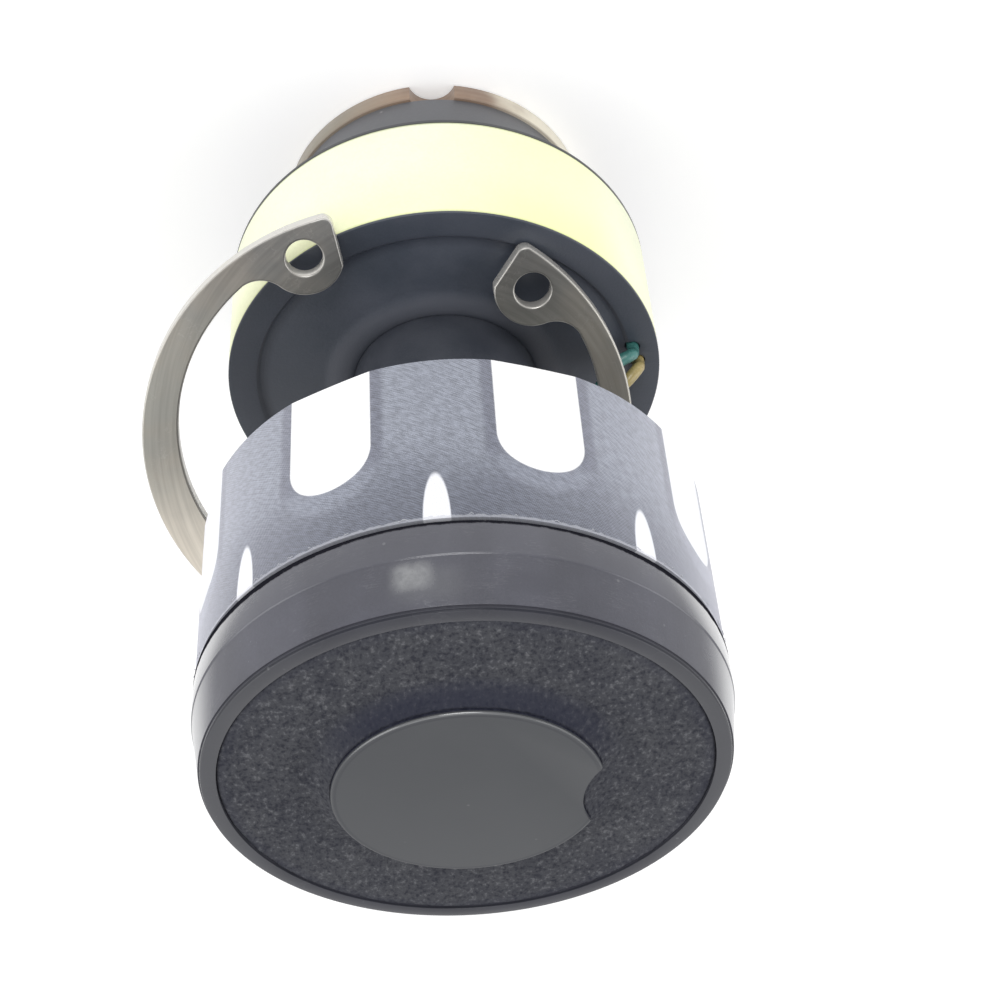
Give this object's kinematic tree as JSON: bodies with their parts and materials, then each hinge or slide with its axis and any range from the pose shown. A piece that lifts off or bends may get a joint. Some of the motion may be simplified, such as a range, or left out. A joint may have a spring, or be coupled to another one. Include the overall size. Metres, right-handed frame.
{
  "type": "microphone capsule",
  "caption": "Moving-coil microphone capsule: windowed drum in a cloth sleeve, foam front with a centre cap, rubber-mounted neck, rear cup with contact board, loose retaining ring.",
  "frame": {"origin": "centre of the contact board's rear face, which the capsule stands on", "axes": "+Z along the capsule's axis towards its front face; -Y towards the gap of the retaining ring"},
  "size_m": [0.0379, 0.0332, 0.0559],
  "materials": {
    "ring_black": "satin moulded",
    "foam_black": "open-cell foam",
    "cap_grey": "satin with a polished edge",
    "plate_grey": "matt painted, punched",
    "spacer_white": "moulded",
    "film_clear": "thin formed film",
    "coil_copper": "enamelled wire",
    "pole_steel": "zinc plated",
    "magnet_grey": "nickel plated",
    "drum_plastic": "moulded",
    "sleeve_cloth": "sheer woven acoustic cloth",
    "felt_grey": "felt",
    "strip_brown": "phenolic board",
    "solder_tin": "bright solder",
    "lead_green": "insulated wire",
    "lead_yellow": "insulated wire",
    "neck_black": "moulded",
    "mount_rubber": "matt rubber",
    "cup_black": "moulded",
    "band_yellow": "fluorescent, satin",
    "collar_slate": "satin",
    "board_brown": "phenolic board",
    "contact_gold": "gold plated",
    "clip_steel": "oiled spring steel"
  },
  "bodies": {
    "root": {"front_ring": "ring_black", "windscreen_foam": "foam_black", "centre_cap": "cap_grey", "front_plate": "plate_grey", "diaphragm_ring": "spacer_white", "diaphragm": "film_clear", "voice_coil": "coil_copper", "top_plate": "pole_steel", "magnet": "magnet_grey", "yoke": "pole_steel", "basket": "drum_plastic", "fabric_sleeve": "sleeve_cloth", "damping_felt": "felt_grey", "end_plate": "cup_black", "terminal_strip": "strip_brown", "solder_joints": "solder_tin", "lead_green": "lead_green", "lead_yellow": "lead_yellow", "neck_tube": "neck_black", "shock_mount": "mount_rubber", "rear_cup": "cup_black", "yellow_band": "band_yellow", "collar": "collar_slate", "contact_board": "board_brown", "contact_outer": "contact_gold", "contact_middle": "contact_gold", "contact_centre": "contact_gold", "retaining_ring": "clip_steel"}
  },
  "joints": []
}
